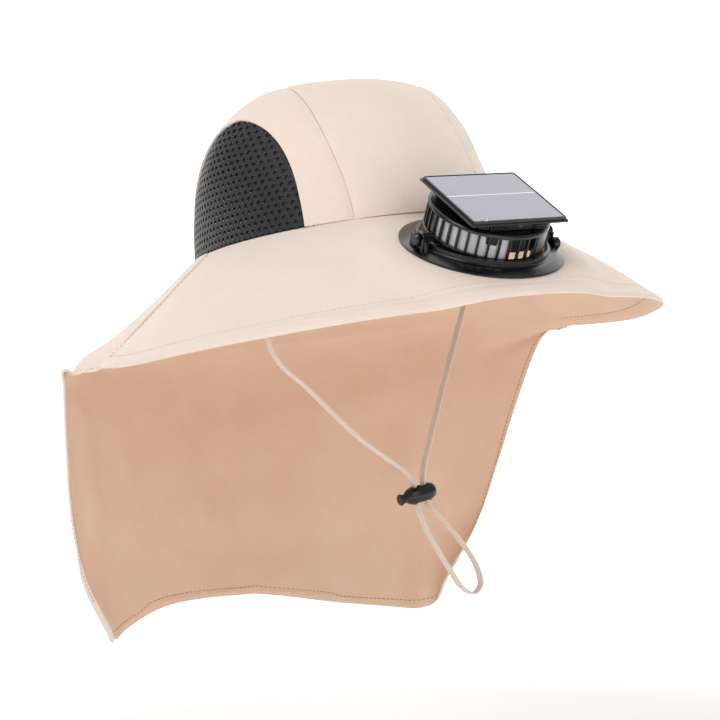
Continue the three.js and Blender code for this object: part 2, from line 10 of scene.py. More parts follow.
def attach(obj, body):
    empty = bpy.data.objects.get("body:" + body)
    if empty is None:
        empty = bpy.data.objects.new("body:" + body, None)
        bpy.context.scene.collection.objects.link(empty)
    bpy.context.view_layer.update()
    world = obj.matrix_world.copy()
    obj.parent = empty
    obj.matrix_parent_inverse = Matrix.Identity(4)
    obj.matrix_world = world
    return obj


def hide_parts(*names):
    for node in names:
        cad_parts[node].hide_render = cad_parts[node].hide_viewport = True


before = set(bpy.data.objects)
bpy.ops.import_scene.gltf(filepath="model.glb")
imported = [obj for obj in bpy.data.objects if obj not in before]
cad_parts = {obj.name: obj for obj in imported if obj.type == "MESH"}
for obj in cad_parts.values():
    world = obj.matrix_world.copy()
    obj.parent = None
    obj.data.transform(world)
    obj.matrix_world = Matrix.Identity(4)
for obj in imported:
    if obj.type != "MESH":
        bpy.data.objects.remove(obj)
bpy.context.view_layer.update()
scene = bpy.context.scene
print("frame loaded")

# Frames: hat level -> world, fan flange -> hat, fan head -> flange
places = {
    "pitch": -10.0,  # degrees about X, the front of the head opening lifts
    "fanCentre": (0.0, -140.3, -27.0),
    "fanTilt": 30.5,
    "headTilt": 7.05,
    "pivotHeight": 6.8,
    "lockCentre": (-0.2, -46.75, -149.6),
    "lockRoll": -9.0,
}


def turn(axis, degrees):  # rotation matrix about one axis
    c, s = math.cos(math.radians(degrees)), math.sin(math.radians(degrees))
    if axis == "X":
        return np.array([[1, 0, 0], [0, c, -s], [0, s, c]])
    if axis == "Y":
        return np.array([[c, 0, s], [0, 1, 0], [-s, 0, c]])
    return np.array([[c, -s, 0], [s, c, 0], [0, 0, 1]])


def hatToWorld(p):
    return (np.asarray(p, float) @ turn("X", places["pitch"]).T) / 1000.0


def fanToHat(p):
    return p @ turn("X", places["fanTilt"]).T + places["fanCentre"]


def hatToFan(p):
    return (p - np.array(places["fanCentre"])) @ turn("X", places["fanTilt"])


def fanToWorld(p):
    return hatToWorld(fanToHat(p))


def headToWorld(p):
    pivot = np.array([0, 0, places["pivotHeight"]])
    return fanToWorld((p - pivot) @ turn("X", places["headTilt"]).T + pivot)


def lockToWorld(p):
    return hatToWorld(p @ turn("Y", places["lockRoll"]).T + places["lockCentre"])


# Mesh helpers: every surface is a grid of points, every wall two grids with their borders closed
def gridFaces(rows, columns, wrap=False):
    i = np.arange(rows - 1)[:, None]
    j = np.arange(columns if wrap else columns - 1)[None]
    a = i * columns + j
    b = i * columns + (j + 1) % columns
    return np.stack([a, b, b + columns, a + columns], -1).reshape(-1, 4)


def unitGrid(rows, columns, power=1.0):
    # Two coordinates from 0 to 1, along the columns and down the rows
    u = np.linspace(0, 1, columns)[None, :] + np.zeros((rows, 1))
    v = np.linspace(0, 1, rows)[:, None] ** power + np.zeros((1, columns))
    return u, v


def closeShell(outer, inner, faces=None):
    # Two layers on the same faces; an edge used only one way is a border and gets a strip
    faces = gridFaces(*outer.shape[:2]) if faces is None else faces
    outer, inner = outer.reshape(-1, 3), inner.reshape(-1, 3)
    n = len(outer)
    edges = np.concatenate([faces[:, [k, (k + 1) % 4]] for k in range(4)])
    forward = edges[:, 0] * n + edges[:, 1]
    backward = edges[:, 1] * n + edges[:, 0]
    rim = edges[~np.isin(forward, backward)]
    strips = np.stack([rim[:, 1], rim[:, 0], rim[:, 0] + n, rim[:, 1] + n], 1)
    return np.vstack([outer, inner]), np.vstack([faces, faces[:, ::-1] + n, strips])


def unit(vectors):
    return vectors / np.maximum(np.linalg.norm(vectors, axis=-1, keepdims=True), 1e-12)


def surfaceNormals(grid, toward=None):
    # Cross product of the differences along the grid, on the side of a given direction
    normal = unit(np.cross(np.gradient(grid, axis=1), np.gradient(grid, axis=0)))
    return normal if toward is None else normal * np.sign(np.sum(normal * toward))


def planRadius(p):
    return np.hypot(p[..., 0], p[..., 1])


def ringStack(rings):
    # Rings of equal point count, one above the other; the ends are drawn together to a point
    rings = np.asarray(rings, float)
    ends = [np.repeat(rings[k].mean(0)[None], rings.shape[1], 0) for k in (0, -1)]
    full = np.concatenate([ends[0][None], rings, ends[1][None]])
    return full.reshape(-1, 3), gridFaces(len(full), rings.shape[1], True)


def circle(steps):
    return np.arange(steps) * 2 * np.pi / steps


def lathe(profile, steps=144, closed=True):
    # A profile of radius and height turned about Z
    profile = np.asarray(profile, float)
    if closed:
        profile = np.vstack([profile, profile[:1]])
    angle = circle(steps)
    r, z = profile[:, 0][:, None], profile[:, 1][:, None]
    points = np.stack([r * np.sin(angle), -r * np.cos(angle), z + 0 * angle], -1)
    return points.reshape(-1, 3), gridFaces(len(profile), steps, True)


def roundedOutline(width, depth, radius, corner=6):
    # A rectangle with round corners, anticlockwise, as points of X and Y
    quarter = np.linspace(0, np.pi / 2, corner)
    parts = []
    for k, (sx, sy) in enumerate([(1, 1), (-1, 1), (-1, -1), (1, -1)]):
        a = quarter + k * np.pi / 2
        centre = np.array([sx * (width / 2 - radius), sy * (depth / 2 - radius)])
        parts.append(centre + radius * np.stack([np.cos(a), np.sin(a)], -1))
    return np.concatenate(parts)


def rectangle(x0, x1, y0, y1, steps=4):
    return moreCorners([[x0, y0], [x1, y0], [x1, y1], [x0, y1]], steps)


def moreCorners(outline, steps=4):
    # Extra points along each side, so that an outline bends and shades evenly
    outline = np.asarray(outline, float)
    after = np.roll(outline, -1, 0)
    t = np.arange(steps)[None, :, None] / steps
    return (outline[:, None] * (1 - t) + after[:, None] * t).reshape(-1, 2)


def raised(outline, z, grow=0.0):
    # An outline grown from its middle, at one height
    middle = (outline.max(0) + outline.min(0)) / 2
    half = (outline.max(0) - outline.min(0)) / 2
    spread = middle + (outline - middle) * (half + grow) / half
    return np.column_stack([spread, np.full(len(spread), float(z))])


def prism(outline, *levels):
    # Rings of one outline, each level a height or a height with how far the outline grows there
    return ringStack([raised(outline, *np.atleast_1d(level)) for level in levels])


def barAlongX(radius, x0, x1, z, y=0.0, bevel=0.35, steps=32):
    # A round bar with broken edges, from x0 to x1
    inward = math.copysign(bevel, x1 - x0)
    a = circle(steps)
    ends = ((x0, radius - bevel), (x0 + inward, radius), (x1 - inward, radius), (x1, radius - bevel))
    return ringStack([np.stack([x + 0 * a, y + r * np.cos(a), z + r * np.sin(a)], -1) for x, r in ends])


def plateAlongX(outline, x0, x1, bevel=0.3):
    # An outline of Y and Z run from x0 to x1, its edges slightly broken
    inward = math.copysign(bevel, x1 - x0)
    ends = ((x0, -bevel), (x0 + inward, 0), (x1 - inward, 0), (x1, -bevel))
    return ringStack([raised(outline, x, grow)[:, [2, 0, 1]] for x, grow in ends])


def joined(*shapes):
    points, faces, start = [], [], 0
    for p, f in shapes:
        points.append(p)
        faces.append(f + start)
        start += len(p)
    return np.vstack(points), np.vstack(faces)


def fixed(points, faces):
    # Faces turned round if the volume inside them comes out negative
    a, b, c, d = (points[faces[:, k]] for k in range(4))
    volume = np.einsum("ij,ij->", a, np.cross(b, c)) + np.einsum("ij,ij->", a, np.cross(c, d))
    return points, faces if volume > 0 else faces[:, ::-1]


def makePiece(name, shape, material, body, slot, stands=(), uv=None, sharp=35.0, shadedInner=None):
    points, faces = shape
    mesh = bpy.data.meshes.new(name)
    mesh.from_pydata(points, [], faces, shade_flat=False)
    mesh.materials.append(material)
    if shadedInner is not None:  # a darker copy of the cloth for the inner layer, painted shade, with the number of faces in a layer
        mesh.materials.append(shadedInner[0])
        index = np.zeros(len(faces), np.int32)
        index[shadedInner[1]:2 * shadedInner[1]] = 1
        mesh.polygons.foreach_set("material_index", index)
    if uv is not None:
        layer = mesh.uv_layers.new(name="cloth")
        layer.data.foreach_set("uv", np.asarray(uv, np.float32)[faces.ravel()].ravel())
    merged = bmesh.new()
    merged.from_mesh(mesh)
    bmesh.ops.remove_doubles(merged, verts=merged.verts, dist=2e-7)
    merged.to_mesh(mesh)
    merged.free()
    mesh.set_sharp_from_angle(angle=math.radians(sharp))
    piece = bpy.data.objects.new(name, mesh)
    scene.collection.objects.link(piece)
    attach(piece, body)
    if stands:
        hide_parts(*stands)
    return piece


def makeHard(name, shapes, material, stands=(), body="fan_head", place=headToWorld, slot="black_plastic",
             **more):
    # A hard piece of closed shapes, moved from its own frame to the world
    points, faces = joined(*[fixed(*shape) for shape in shapes])
    return makePiece(name, (place(points), faces), material, body, slot, stands, **more)


def makeCloth(name, grid, normal, offset, wall, lengths, stands, sharp=35.0, shadedInner=None, faces=None):
    # A cloth wall: the grid moved out by an offset, and a second layer one wall inside it, which can take a
    # darker copy of the cloth as painted shade
    faces = gridFaces(*grid.shape[:2]) if faces is None else faces
    outer = grid + normal * offset[..., None]
    inner = outer - normal * np.asarray(wall)[..., None]
    uv = np.stack(lengths, -1).reshape(-1, 2)
    points, closed = closeShell(outer, inner, faces)
    piece = makePiece(name, fixed(hatToWorld(points), closed), beigeCloth, "hat", "beige_cloth", stands,
                      np.vstack([uv, uv]), sharp, shadedInner and (shadedInner, len(faces)))
    return piece, outer, inner


def smoothStep(x):
    x = np.clip(x, 0, 1)
    return x * x * (3 - 2 * x)


def hump(x, width, at=0.0):
    return np.exp(-(((x - at) / width) ** 2))


def power(value, e):  # a power that keeps the sign
    return np.sign(value) * np.abs(value) ** e


def hermite(t, y0, m0, y1, m1):
    return (y0 * (2 * t**3 - 3 * t**2 + 1) + m0 * (t**3 - 2 * t**2 + t)
            + y1 * (3 * t**2 - 2 * t**3) + m1 * (t**3 - t**2))


def throughTable(rows, at):
    # Smooth curve through each column after the first, with slopes taken across the neighbours
    x = np.array(rows["at"], float)
    i = np.clip(np.searchsorted(x, at, side="left") - 1, 0, len(x) - 2)
    before, after = np.maximum(i - 1, 0), np.minimum(i + 2, len(x) - 1)
    span = x[i + 1] - x[i]
    result = []
    for y in (np.array(column, float) for name, column in rows.items() if name != "at"):
        m0 = (y[i + 1] - y[before]) / (x[i + 1] - x[before]) * span
        m1 = (y[after] - y[i]) / (x[after] - x[i]) * span
        result.append(hermite((at - x[i]) / span, y[i], m0, y[i + 1], m1))
    return result


def runLength(grid, axis):
    # Length along the grid's lines, in the grid's own unit
    step = np.linalg.norm(np.diff(grid, axis=axis), axis=-1)
    start = np.zeros_like(np.take(step, [0], axis=axis))
    return np.concatenate([start, np.cumsum(step, axis=axis)], axis=axis)


# Materials. Every helper takes the material that it adds a node to
def linear(code):  # sRGB hex to linear colour
    c = np.array([int(code[k:k + 2], 16) for k in (1, 3, 5)]) / 255.0
    c = np.where(c <= 0.04045, c / 12.92, ((c + 0.055) / 1.055) ** 2.4)
    return (*c.tolist(), 1.0)


def setNode(made, node, settings):
    # A socket is linked; any other value is set on the input or the property of that name
    for key, value in settings.items():
        if isinstance(value, bpy.types.NodeSocket):
            made.node_tree.links.new(value, node.inputs[key])
        elif isinstance(key, int) or key in node.inputs:
            node.inputs[key].default_value = value
        else:
            setattr(node, key, value)
    return node


def addNode(made, kind, settings):
    return setNode(made, made.node_tree.nodes.new("ShaderNode" + kind), settings)


def shade(made, settings):
    setNode(made, made.node_tree.nodes["Principled BSDF"], settings)
    return made


def newMaterial(name, settings):
    made = bpy.data.materials.new(name)
    made.use_nodes = True
    addNode(made, "TexCoord", {"name": "coordinates"})
    return shade(made, settings)


def coords(made, kind):
    return made.node_tree.nodes["coordinates"].outputs[kind]


def mixColors(made, factor, a, b):
    return addNode(made, "Mix", {"data_type": "RGBA", 0: factor, 6: a, 7: b}).outputs[2]


def noise(made, scale, detail):
    settings = {"Scale": scale, "Detail": detail, "Vector": coords(made, "Object")}
    return addNode(made, "TexNoise", settings).outputs["Fac"]


def bands(made, direction, spacing, distortion):
    # Bands across the UV, which is in millimetres; at scale 1 they are 0.314 apart
    settings = {"bands_direction": direction, "Scale": 0.314 / spacing, "Distortion": distortion}
    return addNode(made, "TexWave", {**settings, "Vector": coords(made, "UV")}).outputs["Fac"]


def mapped(made, value, low, high, start=0.0, end=1.0):
    settings = {"Value": value, "From Min": start, "From Max": end, "To Min": low, "To Max": high}
    return addNode(made, "MapRange", settings).outputs["Result"]


def maths(made, operation, *values):
    return addNode(made, "Math", {"operation": operation, **dict(enumerate(values))}).outputs["Value"]


def bump(made, height, strength, distance, **more):
    settings = {"Height": height, "Strength": strength, "Distance": distance, **more}
    return addNode(made, "Bump", settings).outputs["Normal"]


def clothMaterial(name, light, dark, thread, slub, sheen, threadMm):
    # Plain weave polyester: matt, with a faint mottle and a soft sheen at the edges
    made = newMaterial(name, {
        "Roughness": 0.88, "IOR": 1.5, "Specular IOR Level": 0.25, "Sheen Weight": sheen,
        "Sheen Roughness": 0.5})
    broad = mixColors(made, noise(made, 45.0, 4.0), linear(light), linear(dark))
    soft = mapped(made, noise(made, 900.0, 2.0), 0.0, slub, 0.3, 0.7)
    # The threads are drawn coarser than the real 0.3 mm, so that they show
    weave = maths(made, "MULTIPLY", *[bands(made, axis, threadMm, 0.6) for axis in ("X", "Y")])
    fine = bump(made, weave, 0.35, 0.00006)
    return shade(made, {
        "Base Color": mixColors(made, soft, broad, linear(thread)),
        "Normal": bump(made, noise(made, 110.0, 3.0), 0.5, 0.0004, Normal=fine)})


def plasticMaterial(name, color, rough, grain, coat, ior, specular):
    # Moulded plastic: even colour, fine mould texture, slight haze in the gloss
    made = newMaterial(name, {
        "Base Color": linear(color), "IOR": ior, "Specular IOR Level": specular, "Coat Weight": coat,
        "Coat Roughness": 0.12})
    return shade(made, {
        "Roughness": mapped(made, noise(made, 160.0, 5.0), rough - 0.05, rough + 0.07),
        "Normal": bump(made, noise(made, 2500.0, 2.0), grain, 0.00003)})


def airMeshMaterial():
    # Knitted polyester spacer net: black, dull, with knots about 1 mm apart whose middles are painted lighter
    # as if they catch the light: painted highlight
    made = newMaterial("knitted polyester air mesh", {
        "Roughness": 0.62, "Sheen Weight": 0.25, "Sheen Roughness": 0.4, "IOR": 1.5})
    knots = addNode(made, "TexVoronoi", {"Scale": 0.95, "Vector": coords(made, "UV")}).outputs["Distance"]
    # Lighter colour at the knot middles: painted highlight
    knotGlint = mapped(made, knots, 1.0, 0.0, 0.0, 0.7)
    return shade(made, {
        "Base Color": mixColors(made, knotGlint, linear("#08080a"), linear("#242427")),
        "Normal": bump(made, knots, 0.8, 0.00025, invert=True)})


def tapeMaterial():
    # Woven polyester tape: cross ribs about 0.9 mm apart, their grooves painted darker and crests lighter as
    # painted shade; UV runs along the tape
    made = newMaterial("woven polyester tape", {
        "Roughness": 0.8, "IOR": 1.5, "Sheen Weight": 0.2, "Specular IOR Level": 0.3})
    ribs = bands(made, "X", 0.9, 0.4)
    # The colour follows the ribs' height: painted shade in the grooves
    return shade(made, {"Base Color": mixColors(made, ribs, linear("#cdb8a6"), linear("#efe1d4")),
                        "Normal": bump(made, ribs, 0.5, 0.00015)})


def cellMaterial():
    # Laminated solar cell: blue-grey silicon under clear resin, thin silver fingers and one bus bar
    made = newMaterial("laminated silicon cell", {
        "IOR": 1.5, "Coat Weight": 1.0, "Coat Roughness": 0.04, "Coat IOR": 1.5})
    across = addNode(made, "SeparateXYZ", {"Vector": coords(made, "UV")}).outputs
    finger = maths(made, "LESS_THAN", maths(made, "PINGPONG", across["X"], 0.9), 0.07)
    fromBus = maths(made, "ABSOLUTE", maths(made, "SUBTRACT", across["Y"], 2.6))
    bus = maths(made, "LESS_THAN", fromBus, 0.45)
    base = mixColors(made, noise(made, 60.0, 3.0), linear("#717182"), linear("#818191"))
    lined = mixColors(made, maths(made, "MULTIPLY", finger, 0.22), base, linear("#c2c2ce"))
    rough = [(value, value, value, 1.0) for value in (0.32, 0.45)]
    return shade(made, {"Base Color": mixColors(made, bus, lined, linear("#d9d9e6")),
                        "Roughness": mixColors(made, bus, *rough)})


# Light, dark and thread colour, slub, sheen, thread spacing in mm
beigeCloth = clothMaterial("quick-dry polyester cloth", "#e8d8cb", "#dfcdbf", "#eee2d8", 0.35, 0.15, 0.9)
# A darker, warmer copy of the same cloth for the brim's underside and the flap's inside: painted shade
shadedCloth = clothMaterial("quick-dry polyester cloth, painted shade", "#e8c9b2", "#ddb99e", "#efd5c1", 0.3, 0.1, 0.9)
paleThread = clothMaterial("spun polyester thread, pale", "#e2d0c2", "#d8c4b4", "#e8dacf", 0.4, 0.1, 0.5)
# A darker copy of the thread for the rows under the brim, on its back seams and on the flap: painted shade
shadedThread = clothMaterial("spun polyester thread, painted shade", "#b8937a", "#a37f67", "#c4a189", 0.4, 0.1, 0.5)
# Colour, roughness, grain, coat, refraction, specular level
blackAbs = plasticMaterial("gloss ABS, black", "#0d0e10", 0.24, 0.12, 0.1, 1.54, 0.4)
satinAbs = plasticMaterial("satin ABS, black", "#101113", 0.42, 0.3, 0.0, 1.54, 0.4)
greyStyrene = plasticMaterial("polystyrene, light grey", "#c6c7cb", 0.4, 0.2, 0.0, 1.59, 0.5)
steelScrew = plasticMaterial("blackened steel screw", "#3a3b3f", 0.35, 0.1, 0.0, 1.5, 0.5)
airMesh = airMeshMaterial()
tape = tapeMaterial()
siliconCell = cellMaterial()
print("materials made")



def putInScene(thing, place, turned):
    thing.location = place
    thing.rotation_mode = "QUATERNION"
    thing.rotation_quaternion = turned
    scene.collection.objects.link(thing)


# Camera, at the photograph's angle
view = {"at": (-0.5493, -0.97586, 0.03228), "turn": (0.709182, 0.655825, -0.157697, -0.205148)}
camera = bpy.data.objects.new("camera", bpy.data.cameras.new("camera"))
camera.data.lens = 96.2116
camera.data.sensor_width = 36.0
putInScene(camera, view["at"], Quaternion(view["turn"]))
scene.camera = camera

# Chin strap: one flat tape, from the right side of the head opening through the lock, round its
# tail loop, back through the lock and up to the left side
strap = {"width": 5.5, "thickness": 1.3, "samples": 520, "around": 20}
strapPoints = np.array([
    [-77.8, -35, -3.3], [-78.4, -38, -22], [-79.4, -41, -42], [-79, -42.8, -60], [-74, -43.4, -71],
    [-62, -43.9, -83], [-48, -44.6, -99], [-33, -45.2, -115], [-18, -45.9, -128], [-6.5, -46.3, -138],
    [-3.2, -46.6, -148], [-3.1, -46.9, -156], [-0.4, -47.5, -168], [5, -48.1, -181], [11.2, -48.8, -194],
    [17, -49.4, -204.5], [23.6, -49.8, -208.6], [29.2, -49.4, -204.6], [28.6, -48.8, -194],
    [21.6, -48.1, -180], [12.4, -47.5, -167], [4.3, -46.9, -157], [2.6, -46.6, -149],
    [3.4, -46.3, -139], [12, -45.3, -120],
    [25.5, -44.1, -92], [39, -43, -65], [50, -41.9, -43], [62.4, -38.2, -22], [76.3, -35, -3.7]])


def alongRoute(points, samples):
    # Centripetal Catmull-Rom curve through the points
    ends = [2 * points[0] - points[1], 2 * points[-1] - points[-2]]
    p = np.vstack([ends[0], points, ends[1]])
    t = np.linspace(0, len(points) - 1, samples)
    i = np.minimum(t.astype(int), len(points) - 2)
    p0, p1, p2, p3 = (p[i + k] for k in range(4))
    pairs = ((p0, p1), (p1, p2), (p2, p3))
    d0, d1, d2 = (np.sum((b - a) ** 2, -1, keepdims=True) ** 0.25 for a, b in pairs)
    m1 = ((p1 - p0) / d0 - (p2 - p0) / (d0 + d1) + (p2 - p1) / d1) * d1
    m2 = ((p2 - p1) / d1 - (p3 - p1) / (d1 + d2) + (p3 - p2) / d2) * d1
    return hermite((t - i)[:, None], p1, m1, p2, m2)


def makeStrap(lockPieces):
    # A rounded flat section carried along the route, its wide side kept along the hat's Y
    route = alongRoute(strapPoints, strap["samples"])
    tangent = unit(np.gradient(route, axis=0))
    wide = unit(np.array([0.0, 1.0, 0.0]) - tangent * tangent[:, 1:2])
    thin = np.cross(tangent, wide)
    a = circle(strap["around"])
    across = power(np.cos(a), 0.35) * strap["width"] / 2
    through = power(np.sin(a), 0.6) * strap["thickness"] / 2
    rings = route[:, None] + wide[:, None] * across[None, :, None] + thin[:, None] * through[None, :, None]
    points, faces = ringStack(rings)
    length = runLength(route, 0)
    along = np.concatenate([length[:1], length, length[-1:]])
    uv = np.stack(np.broadcast_arrays(along[:, None], across[None]), -1).reshape(-1, 2)
    shape = fixed(hatToWorld(points), faces)
    piece = makePiece("chinStrap", shape, tape, "hat", "beige_tape", ["chin_strap"], uv, 60)
    print("chin strap", round(length[-1]), "mm")


# Crown: height, plan and side fall by powers of the rise, and the top leans forward
crown = {
    "length": 202.0, "width": 172.0, "height": 88.2, "wall": 1.2, "frontPower": 1.8, "backPower": 2.0,
    "sidePower": 3.44, "topPlanPower": 1.54, "lean": 29.4, "leanPower": 3.5, "strip": 85.0, "seamGap": 0.15,
}
seam = {"depth": 0.8, "width": 2.2, "puckers": 0.55, "puckerAt": 3.5, "puckerWidth": 5, "puckerLength": 11}
arch = {"halfLength": 69.0, "height": 68.5, "lean": 22.0, "power": 1.5}


def fade(rise, exponent):
    return np.clip(1 - np.clip(rise, 0, 1) ** exponent, 0, 1) ** (1 / exponent)


def crownPlan(rise):  # power of the plan's superellipse, which falls with the rise
    return 2 + (crown["topPlanPower"] - 2) * rise


def crownLength(x, rise, front):
    # Y on the crown at a given X and rise
    plan = crownPlan(rise)
    half = crown["width"] / 2 * fade(rise, crown["sidePower"])
    share = np.clip(np.abs(x) / np.maximum(half, 1e-9), 0, 1)
    reach = (1 - share**plan) ** (1 / plan)
    sides = np.where(front, -fade(rise, crown["frontPower"]), fade(rise, crown["backPower"]))
    return crown["length"] / 2 * sides * reach - crown["lean"] * rise ** crown["leanPower"]


def crownBreadth(y, z):
    # X on the crown's side at a given Y and Z
    rise = np.clip(z / crown["height"], 0, 1)
    plan = crownPlan(rise)
    centred = y + crown["lean"] * rise ** crown["leanPower"]
    ends = np.where(centred < 0, fade(rise, crown["frontPower"]), fade(rise, crown["backPower"]))
    share = np.clip(np.abs(centred) / np.maximum(crown["length"] / 2 * ends, 1e-9), 0, 1)
    return crown["width"] / 2 * fade(rise, crown["sidePower"]) * (1 - share**plan) ** (1 / plan)


def softWaves(a, b, seed):
    # A few slow waves laid over each other, between about -1 and 1
    pick = np.random.default_rng(seed)
    total = 0
    for _ in range(5):
        f, g = pick.uniform(0.6, 2.4, 2)
        total = total + np.sin(2 * np.pi * (a * f + b * g) + pick.uniform(0, 6.28)) / 5
    return total * 1.6


def seamDent(distance, along, seed=1):
    # Cloth drawn in beside a seam, in short puckers
    ripple = 0.5 + 0.5 * np.sin(2 * np.pi * along / seam["puckerLength"] + 2.2 * np.sin(along / 17.0 + seed))
    puckers = seam["puckers"] * hump(distance, seam["puckerWidth"], seam["puckerAt"]) * ripple
    return -seam["depth"] * (hump(distance, seam["width"]) + puckers)


def topRise(x):
    # The rise at which the crown is as wide as a given X
    return fade(np.abs(x) / (crown["width"] / 2), crown["sidePower"])


def makeCrown():
    gap = crown["seamGap"]
    half = crown["strip"] / 2 - gap
    # Centre strip: columns across, rows from the front base over the top to the back base
    x = np.linspace(half, -half, 72)[None, :]
    s = np.linspace(0, 1, 220)[:, None]
    rise = topRise(x) * np.sin(np.pi * s)
    height = crown["height"] * rise - 0.25 * (rise < 0.001)
    grid = np.stack([x + 0 * s, crownLength(x, rise, s < 0.5), height], -1)
    waves = 0.5 * softWaves(x / 120, s * 2, 3) * np.sin(np.pi * s)
    offset = seamDent(half - np.abs(grid[..., 0]), runLength(grid, 0)) + waves
    crownWall("crownCenterPanel", grid, offset, ["crown_center_panel"])
    # Side panels: rows from the strip's seam to the arch, worked out in side view
    s = np.linspace(0, 1, 200)
    share = np.sin(np.pi * s)
    seamX = half + 2 * gap
    rise = topRise(seamX) * share
    top = np.stack([crownLength(seamX, rise, s < 0.5), crown["height"] * rise], -1)
    reach = np.where(s < 0.5, -1, 1) * (arch["halfLength"] + gap) * fade(share, arch["power"])
    edge = np.stack([reach - arch["lean"] * share ** arch["power"], (arch["height"] + gap) * share], -1)
    w = np.linspace(0, 1, 40)[None, :, None]
    y, z = np.moveaxis(top[:, None] * (1 - w) + edge[:, None] * w, -1, 0)
    for name, side in (("Right", -1), ("Left", 1)):
        grid = np.stack([side * crownBreadth(y, z), y, z], -1)
        grid = grid[:, ::-side]
        near, far = runLength(grid, 1), runLength(grid, 0)
        fromSeam, toArch = (near, near[:, -1:] - near)[::-side]
        offset = seamDent(fromSeam, far, 2) + 0.25 * seamDent(toArch - 2.5, far, 4) + 0.25 * hump(toArch, 2.0)
        offset = offset + 0.35 * softWaves(grid[..., 1] / 90, grid[..., 2] / 70, 8)
        crownWall("crownSidePanel" + name, grid, offset, ["crown_side_panel_" + name.lower()])
        makeNet(name, side)
    print("crown made")


def crownWall(name, grid, offset, stands):
    normal = surfaceNormals(grid, grid - [0, 0, 20])
    makeCloth(name, grid, normal, offset, crown["wall"], (runLength(grid, 1), runLength(grid, 0)), stands)


net = {
    "hole": 1.2, "pitch": 4.3, "thick": 0.4, "inset": 1.0, "gap": 0.9, "corners": 12, "middle": -11.0,
    "below": 5.0, "above": 1.5, "margin": 2.2,
}


def netFace(side, inset, shift):
    # Six-sided cells with round holes in staggered rows, laid just inside the crown's side panel;
    # cells past the arch are hidden behind the panel
    pitch, n = net["pitch"], net["corners"]
    j, i = np.meshgrid(np.arange(-2, 24), np.arange(-20, 21), indexing="ij")
    z = j * pitch * math.sqrt(3) / 2 + shift
    y = (i + 0.5 * (j % 2)) * pitch + net["middle"]
    share = np.clip(z / (arch["height"] + net["margin"]), 0, 1)
    reach = (arch["halfLength"] + net["margin"]) * fade(share, arch["power"])
    inside = np.abs(y + arch["lean"] * share ** arch["power"]) < reach
    inside &= (z > -net["below"]) & (z < arch["height"] + net["above"])
    centre = np.stack([y[inside], z[inside]], -1)
    a = circle(n) + np.pi / 6
    edge = np.where(np.arange(n) % 2 == 0, pitch / math.sqrt(3), pitch / 2)[:, None]  # corner or mid-side
    ring = np.stack([np.cos(a), np.sin(a)], -1)
    flat = np.stack([centre[:, None] + ring * r for r in (edge, net["hole"])], 1).reshape(-1, 2)
    base = (np.arange(len(centre)) * 2 * n)[:, None]
    k = np.arange(n)[None]
    after = (k + 1) % n
    faces = np.stack([base + k, base + after, base + n + after, base + n + k], -1).reshape(-1, 4)
    # Corners that neighbours share become one point
    _, index, back = np.unique(np.round(flat, 3), axis=0, return_index=True, return_inverse=True)
    flat, faces = flat[index], back.ravel()[faces]
    y, z, h = flat[:, 0], np.maximum(flat[:, 1], 0.5), 0.5
    slopeY = (crownBreadth(y + h, z) - crownBreadth(y - h, z)) / (2 * h)
    slopeZ = (crownBreadth(y, z + h) - crownBreadth(y, z - h)) / (2 * h)
    normal = unit(np.stack([np.ones_like(y), -slopeY, -slopeZ], -1))
    surface = np.stack([crownBreadth(y, np.maximum(flat[:, 1], 0)), y, flat[:, 1]], -1)
    layers = [(surface - normal * depth) * [side, 1, 1] for depth in (inset, inset + net["thick"])]
    points, closed = closeShell(*layers, faces)
    return fixed(hatToWorld(points), closed), np.vstack([flat, flat])


def makeNet(name, side):
    # Knitted spacer net has two faces whose holes are staggered, so the eye doesn't pass through
    front, frontUv = netFace(side, net["inset"], 0.0)
    back, backUv = netFace(side, net["inset"] + net["gap"], net["pitch"] / math.sqrt(3))
    shape = joined(front, back)
    makePiece("meshInsert" + name, shape, airMesh, "hat", "black_net", ["mesh_insert_" + name.lower()],
              np.vstack([frontUv, backUv]), 50)
    print("net", name, len(shape[1]), "faces")


makeCrown()

# Stitches, each a short squashed bead of thread sunk in the cloth
stitch = {"pitch": 3.0, "length": 2.5, "width": 0.62, "fromHem": 0.4, "end": 0.92, "rings": 5, "around": 6}


def stitchRow(line, normal):
    run = runLength(line, 0)
    count = int(run[-1] / stitch["pitch"])
    at = (np.arange(count) + 0.5) * run[-1] / count

    def along(values, where):
        return np.stack([np.interp(where, run, values[:, k]) for k in range(3)], -1)

    up = unit(along(normal, at))
    ahead = along(line, at + 0.5) - along(line, at - 0.5)
    ahead = unit(ahead - up * np.sum(ahead * up, 1, keepdims=True))
    t = np.linspace(-stitch["end"], stitch["end"], stitch["rings"])
    a = circle(stitch["around"])
    girth = np.sqrt(1 - t**2)[:, None]
    one, faces = ringStack(np.stack([t[:, None] + 0 * a, girth * np.cos(a), girth * np.sin(a)], -1))
    local = one * np.array([stitch["length"], stitch["width"], stitch["width"] * 0.8]) / 2
    axes = np.stack([ahead, np.cross(up, ahead), up], 1)
    points = along(line, at)[:, None] + local @ axes
    starts = (np.arange(count) * len(one))[:, None, None]
    return points.reshape(-1, 3), (faces[None] + starts).reshape(-1, 4)


def makeThreads(name, rows, material):
    points, faces = joined(*[stitchRow(line, normal) for line, normal in rows])
    return makePiece(name, fixed(hatToWorld(points), faces), material, "hat", "beige_cloth", sharp=80)


def hemmed(toEdge, look):
    # Offset and wall of a turned hem: raised, with a groove at its stitches and a rounded edge
    hem = smoothStep((look["hemWidth"] - toEdge) / look["hemStep"])
    groove = hump(toEdge, 0.9, look["hemWidth"] - stitch["fromHem"])
    bend = 1 - np.sqrt(np.clip(1 - np.clip(1 - toEdge / look["edgeRound"], 0, 1) ** 2, 0, 1))
    shapes = [hem, -groove, -bend]
    return np.tensordot(look["hemOut"], shapes, 1), look["wall"] + np.tensordot(look["hemWall"], shapes, 1)


